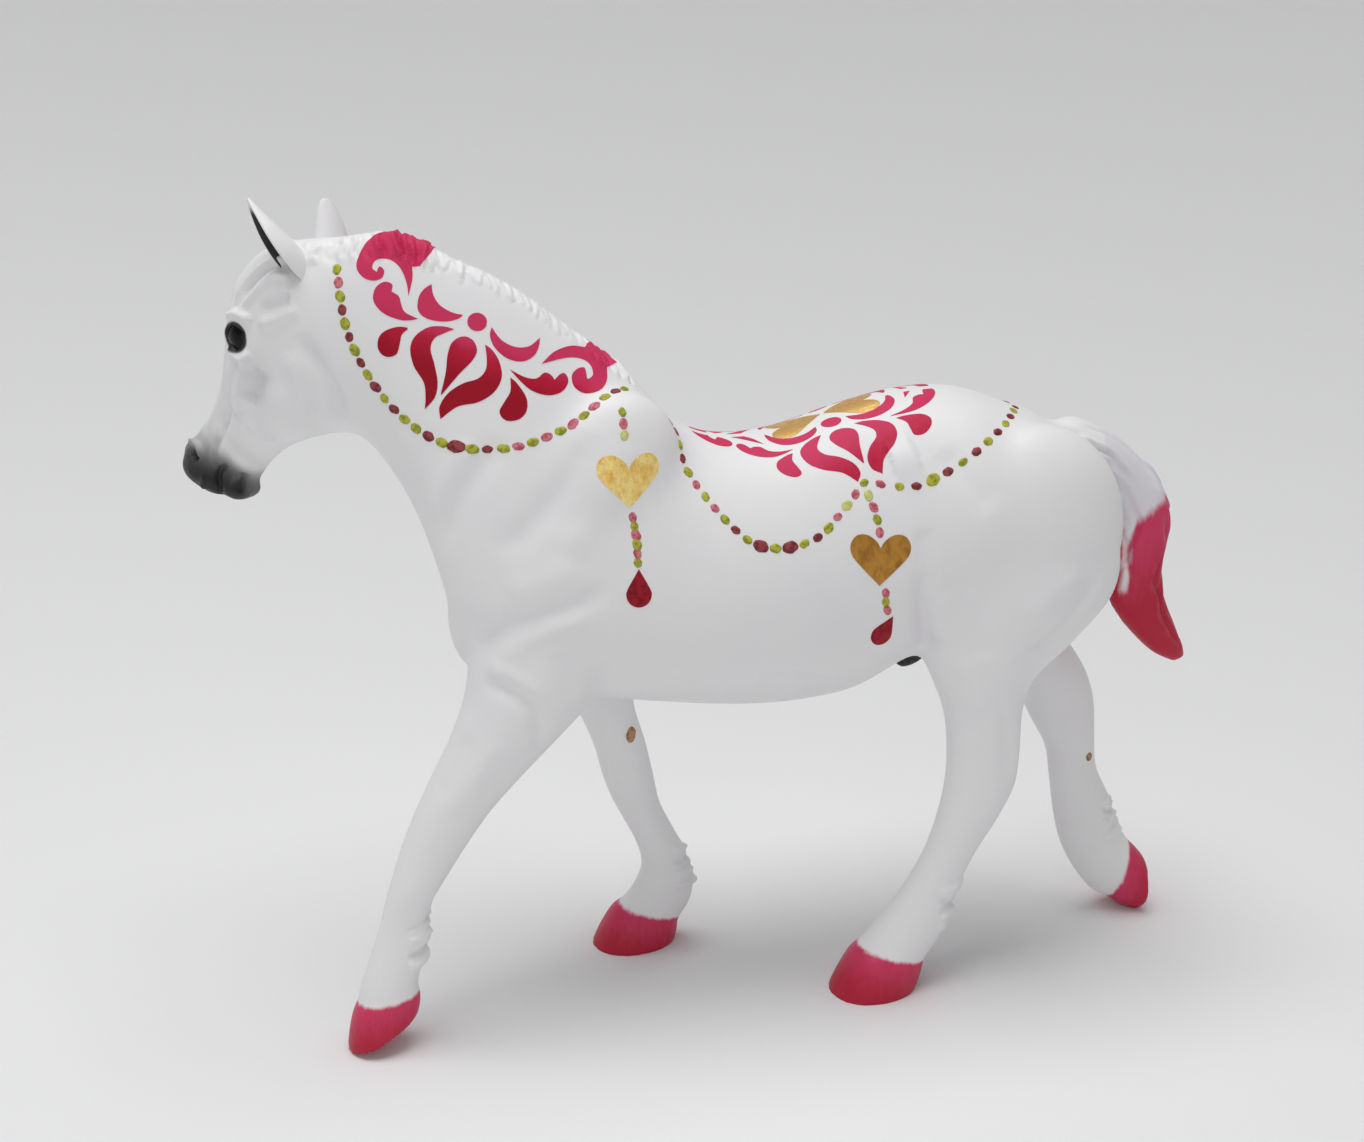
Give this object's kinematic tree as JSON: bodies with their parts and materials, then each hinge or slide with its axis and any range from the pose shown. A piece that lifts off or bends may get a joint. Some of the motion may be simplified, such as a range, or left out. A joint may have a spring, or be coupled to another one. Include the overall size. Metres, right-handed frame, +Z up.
{
  "type": "dala style model horse",
  "caption": "Painted model horse at the walk with its head turned, satin white with folk ornament, bead garlands and gold hearts, pink hooves and a red tail.",
  "frame": {"origin": "middle of the bounding box in plan, on the floor under the hooves", "axes": "the horse looks along -X, its left side is -Y, +Z is up"},
  "size_m": [0.2036, 0.0586, 0.1592],
  "materials": {
    "body_paint": "satin white paint over moulded plastic, with painted ornament",
    "leg_paint": "satin white paint, hooves pink-red fading into white",
    "tail_paint": "satin paint, white root fading to deep red",
    "ear_paint": "satin white paint, dark grey inside"
  },
  "bodies": {
    "root": {"left_body_shell": "body_paint", "right_body_shell": "body_paint", "left_foreleg": "leg_paint", "right_foreleg": "leg_paint", "left_hindleg": "leg_paint", "right_hindleg": "leg_paint", "tail": "tail_paint", "left_ear": "ear_paint", "right_ear": "ear_paint"}
  },
  "joints": []
}
